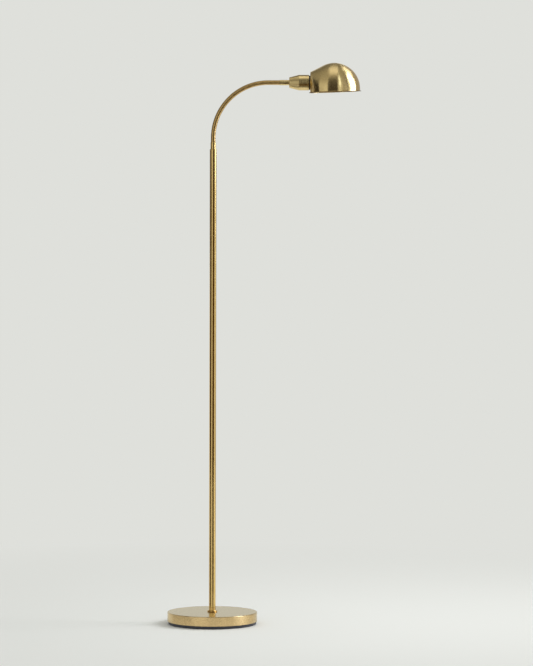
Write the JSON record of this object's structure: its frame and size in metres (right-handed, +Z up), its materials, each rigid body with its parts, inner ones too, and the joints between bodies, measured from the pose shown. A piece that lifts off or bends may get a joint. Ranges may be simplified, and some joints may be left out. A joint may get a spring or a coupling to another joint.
{
  "type": "floor lamp",
  "caption": "Gooseneck reading floor lamp in polished and brushed gold brass: weighted round base, slim pole, flexible neck and a half-dome shade open at the bottom.",
  "frame": {"origin": "centre of the base's underside, on the floor and on the pole's axis", "axes": "+Z up along the pole, +X the way the neck carries the shade, +Y towards the cord inlet at the rear"},
  "size_m": [0.5132, 0.2416, 1.4988],
  "materials": {
    "felt": "matt",
    "black_casting": "painted black",
    "brushed_gold_brass": "brushed",
    "polished_gold_brass": "polished",
    "neck_gold_brass": "fine ribbed, polished",
    "plain_brass": "plain",
    "plated_steel": "zinc plated",
    "black_plastic": "matt",
    "white_plastic": "matt",
    "bulb_cap_metal": "satin",
    "opal_plastic": "opal"
  },
  "bodies": {
    "stand": {"base_cover": "brushed_gold_brass", "base_felt": "felt", "base_locknut": "plated_steel", "base_nipple": "plated_steel", "base_washer": "plated_steel", "base_weight": "black_casting", "cord_gland": "black_plastic", "neck_lower_ferrule": "polished_gold_brass", "neck_root": "neck_gold_brass", "pole_collar": "polished_gold_brass", "pole_couplings": "plain_brass", "pole_top_bush": "polished_gold_brass", "pole_tube_1": "polished_gold_brass", "pole_tube_2": "polished_gold_brass", "pole_tube_3": "polished_gold_brass", "pole_tube_4": "polished_gold_brass"},
    "neck_link_01": {"neck_link_01": "neck_gold_brass"},
    "neck_link_02": {"neck_link_02": "neck_gold_brass"},
    "neck_link_03": {"neck_link_03": "neck_gold_brass"},
    "neck_link_04": {"neck_link_04": "neck_gold_brass"},
    "neck_link_05": {"neck_link_05": "neck_gold_brass"},
    "neck_link_06": {"neck_link_06": "neck_gold_brass"},
    "neck_link_07": {"neck_link_07": "neck_gold_brass"},
    "neck_link_08": {"neck_link_08": "neck_gold_brass"},
    "neck_link_09": {"neck_link_09": "neck_gold_brass"},
    "neck_link_10": {"neck_link_10": "neck_gold_brass"},
    "neck_link_11": {"neck_link_11": "neck_gold_brass"},
    "head": {"neck_tip": "neck_gold_brass", "neck_upper_ferrule": "polished_gold_brass", "head_stud": "plain_brass", "socket_cup": "polished_gold_brass", "lampholder_cap": "black_plastic", "lampholder_body": "black_plastic", "lampholder_insert": "white_plastic", "lampholder_shell": "plain_brass", "centre_contact": "plain_brass", "shade_ring": "black_plastic", "shade": "polished_gold_brass", "bulb_cap": "bulb_cap_metal", "bulb_globe": "opal_plastic"}
  },
  "joints": [
    {"name": "neck_lower_bend", "type": "hinge", "parent": "stand", "child": "neck_link_01", "pos_m": [0, 0, 1.29833], "axis": [0, 1, 0], "range_deg": [-15, 15]},
    {"name": "neck_lower_side", "type": "hinge", "parent": "neck_link_01", "child": "neck_link_02", "pos_m": [0.00164, 0, 1.32092], "axis": [0.9888, 0, -0.1491], "range_deg": [-15, 15]},
    {"name": "neck_bend_03", "type": "hinge", "parent": "neck_link_02", "child": "neck_link_03", "pos_m": [0.00673, 0, 1.34298], "axis": [0, 1, 0], "range_deg": [-15, 15]},
    {"name": "neck_side_04", "type": "hinge", "parent": "neck_link_03", "child": "neck_link_04", "pos_m": [0.01515, 0, 1.364], "axis": [0.8969, 0, -0.4422], "range_deg": [-15, 15]},
    {"name": "neck_bend_05", "type": "hinge", "parent": "neck_link_04", "child": "neck_link_05", "pos_m": [0.0267, 0, 1.38348], "axis": [0, 1, 0], "range_deg": [-15, 15]},
    {"name": "neck_side_06", "type": "hinge", "parent": "neck_link_05", "child": "neck_link_06", "pos_m": [0.04111, 0, 1.40096], "axis": [0.7204, 0, -0.6936], "range_deg": [-15, 15]},
    {"name": "neck_upper_bend", "type": "hinge", "parent": "neck_link_06", "child": "neck_link_07", "pos_m": [0.05802, 0, 1.41601], "axis": [0, 1, 0], "range_deg": [-15, 15]},
    {"name": "neck_upper_side", "type": "hinge", "parent": "neck_link_07", "child": "neck_link_08", "pos_m": [0.07705, 0, 1.42829], "axis": [0.4759, 0, -0.8795], "range_deg": [-15, 15]},
    {"name": "neck_bend_09", "type": "hinge", "parent": "neck_link_08", "child": "neck_link_09", "pos_m": [0.09774, 0, 1.4375], "axis": [0, 1, 0], "range_deg": [-15, 15]},
    {"name": "neck_side_10", "type": "hinge", "parent": "neck_link_09", "child": "neck_link_10", "pos_m": [0.11959, 0, 1.44342], "axis": [0.1864, 0, -0.9825], "range_deg": [-15, 15]},
    {"name": "neck_bend_11", "type": "hinge", "parent": "neck_link_10", "child": "neck_link_11", "pos_m": [0.1421, 0, 1.44592], "axis": [0, 1, 0], "range_deg": [-15, 15]},
    {"name": "neck_side_12", "type": "hinge", "parent": "neck_link_11", "child": "head", "pos_m": [0.16477, 0, 1.446], "axis": [0.0018, 0, -1], "range_deg": [-15, 15]}
  ],
  "couplings": [
    {"joint": "neck_bend_03", "follows": "neck_lower_bend", "ratio": 1},
    {"joint": "neck_side_04", "follows": "neck_lower_side", "ratio": 1},
    {"joint": "neck_bend_05", "follows": "neck_lower_bend", "ratio": 1},
    {"joint": "neck_side_06", "follows": "neck_lower_side", "ratio": 1},
    {"joint": "neck_bend_09", "follows": "neck_upper_bend", "ratio": 1},
    {"joint": "neck_side_10", "follows": "neck_upper_side", "ratio": 1},
    {"joint": "neck_bend_11", "follows": "neck_upper_bend", "ratio": 1},
    {"joint": "neck_side_12", "follows": "neck_upper_side", "ratio": 1}
  ]
}
